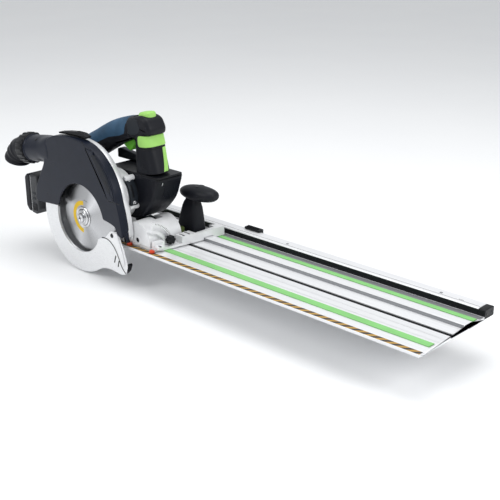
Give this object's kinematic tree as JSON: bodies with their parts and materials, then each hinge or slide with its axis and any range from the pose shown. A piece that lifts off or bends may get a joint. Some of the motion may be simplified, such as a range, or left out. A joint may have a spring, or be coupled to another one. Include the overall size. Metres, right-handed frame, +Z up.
{
  "type": "track plunge saw",
  "caption": "Cordless circular saw with plunging and tilting head, retracting lower guard and dust elbow, riding on its own cross-cut rail.",
  "frame": {"origin": "in the plane that the rail rests on, under the blade's axis, on the grip strip beside the cutting edge", "axes": "+X along the rail in the cutting direction, +Y away from the blade side, +Z up"},
  "size_m": [0.8352, 0.1935, 0.2645],
  "materials": {
    "rail_silver": "satin anodised",
    "hazard_strip": "printed strip, diagonal bars",
    "grip_rubber": "matt foam",
    "glide_green": "smooth low-friction strip",
    "black_plastic": "fine spark texture",
    "white_casting": "pale painted magnesium casting",
    "white_plastic": "smooth",
    "red_plastic": "smooth",
    "soft_black": "soft touch",
    "olive_plastic": "smooth",
    "steel": "turned",
    "silver_casting": "die cast, satin",
    "navy_plastic": "satin, fine texture",
    "blade_steel": "circular ground",
    "grey_plastic": "satin",
    "copper_winding": "enamelled wire",
    "grip_blue": "soft over-moulding",
    "trigger_green": "smooth",
    "lime_plastic": "smooth"
  },
  "bodies": {
    "rail": {"rail_profile": "rail_silver", "splinter_strip": "hazard_strip", "grip_strip_near": "grip_rubber", "grip_strip_far": "grip_rubber", "glide_strip_wide": "glide_green", "glide_strip_narrow": "glide_green", "rail_housing": "black_plastic", "housing_cover": "rail_silver", "end_cap_rear": "black_plastic", "end_cap_front": "black_plastic"},
    "travel_stop": {"travel_stop": "black_plastic"},
    "saw_base": {"base_plate": "white_casting", "guide_shoe_rear": "white_plastic", "guide_shoe_front": "white_plastic", "cut_pointer_rear": "red_plastic", "cut_pointer_front": "red_plastic", "knob_stalk": "black_plastic", "knob_head": "soft_black", "quadrant_front": "white_casting", "quadrant_rear": "white_casting"},
    "play_knob": {"play_knob": "olive_plastic"},
    "tilt_frame": {"tilt_block": "white_casting", "pivot_pin": "steel", "plunge_spring": "steel"},
    "bevel_clamp": {"bevel_clamp_front": "black_plastic"},
    "saw_unit": {"guard_casting": "silver_casting", "guard_cover": "navy_plastic", "guard_panel": "navy_plastic", "dust_duct": "navy_plastic", "dust_collar": "black_plastic", "gear_case": "silver_casting", "gear_cover": "grey_plastic", "spindle_bearing": "steel", "motor_housing": "black_plastic", "motor_stator": "copper_winding", "plunge_arm": "silver_casting", "electronics_cover": "grey_plastic", "handle_near": "black_plastic", "handle_far": "black_plastic", "grip_inlay": "grip_blue", "switch_module": "black_plastic", "column_panel": "lime_plastic", "battery_dock": "black_plastic"},
    "dust_elbow": {"dust_elbow": "black_plastic"},
    "blade": {"saw_blade": "blade_steel", "outer_flange": "steel", "inner_flange": "steel", "blade_bolt": "steel", "spindle": "steel", "spindle_gear": "steel"},
    "layshaft": {"layshaft_gears": "steel"},
    "rotor": {"rotor": "steel", "cooling_fan": "black_plastic"},
    "lower_guard": {"lower_guard": "silver_casting"},
    "guard_lever": {"guard_lever": "black_plastic"},
    "trigger": {"trigger": "trigger_green"},
    "lock_off_button": {"lock_off_button": "lime_plastic"},
    "battery": {"battery_pack": "grey_plastic", "battery_cover": "black_plastic"},
    "battery_release": {"battery_release": "black_plastic"}
  },
  "joints": [
    {"name": "saw_travel", "type": "slide", "parent": "rail", "child": "saw_base", "axis": [1, 0, 0], "range_m": [0, 0.42]},
    {"name": "travel_stop_slide", "type": "slide", "parent": "rail", "child": "travel_stop", "axis": [1, 0, 0], "range_m": [-0.1, 0.36]},
    {"name": "play_knob_turn", "type": "hinge", "parent": "saw_base", "child": "play_knob", "pos_m": [0.1373, 0.0695, 0.011], "axis": [0, 0, 1], "continuous": true},
    {"name": "bevel", "type": "hinge", "parent": "saw_base", "child": "tilt_frame", "pos_m": [0, -0.01, 0], "axis": [1, 0, 0], "range_deg": [0, 47]},
    {"name": "bevel_clamp_turn", "type": "hinge", "parent": "tilt_frame", "child": "bevel_clamp", "pos_m": [0.15, 0.02988, 0.0186], "axis": [1, 0, 0], "continuous": true},
    {"name": "plunge", "type": "hinge", "parent": "tilt_frame", "child": "saw_unit", "pos_m": [0.1186, 0, 0.0166], "axis": [0, 1, 0], "range_deg": [0, 27]},
    {"name": "dust_elbow_swivel", "type": "hinge", "parent": "saw_unit", "child": "dust_elbow", "pos_m": [-0.14914, -0.007, 0.11397], "axis": [0.989, 0, 0.1478], "continuous": true},
    {"name": "blade_spin", "type": "hinge", "parent": "saw_unit", "child": "blade", "pos_m": [0, 0, 0.028], "axis": [0, 1, 0], "continuous": true},
    {"name": "layshaft_spin", "type": "hinge", "parent": "saw_unit", "child": "layshaft", "pos_m": [0.028, 0, 0.05], "axis": [0, 1, 0], "continuous": true},
    {"name": "rotor_spin", "type": "hinge", "parent": "saw_unit", "child": "rotor", "pos_m": [0.0571, 0, 0.0744], "axis": [0, 1, 0], "continuous": true},
    {"name": "lower_guard_swing", "type": "hinge", "parent": "saw_unit", "child": "lower_guard", "pos_m": [0, 0, 0.028], "axis": [0, 1, 0], "range_deg": [0, 120], "stiffness_Nm_per_rad": 0.12, "springref_deg": -34.38},
    {"name": "guard_lever_lift", "type": "hinge", "parent": "saw_unit", "child": "guard_lever", "pos_m": [0.022, 0, 0.163], "axis": [0, 1, 0], "range_deg": [0, 12]},
    {"name": "trigger_pull", "type": "slide", "parent": "saw_unit", "child": "trigger", "axis": [0, 0, 1], "range_m": [0, 0.0045], "stiffness_N_per_m": 900, "springref_m": -0.002},
    {"name": "lock_off_press", "type": "slide", "parent": "saw_unit", "child": "lock_off_button", "axis": [0, 0, -1], "range_m": [0, 0.0025], "stiffness_N_per_m": 900, "springref_m": -0.001},
    {"name": "battery_slide", "type": "slide", "parent": "saw_unit", "child": "battery", "axis": [0, -1, 0], "range_m": [0, 0.1]},
    {"name": "battery_release_press", "type": "slide", "parent": "battery", "child": "battery_release", "axis": [0, 1, 0], "range_m": [0, 0.0025], "stiffness_N_per_m": 900, "springref_m": -0.001}
  ],
  "couplings": [
    {"joint": "layshaft_spin", "follows": "blade_spin", "ratio": -0.63158},
    {"joint": "rotor_spin", "follows": "blade_spin", "ratio": 2.1377}
  ]
}
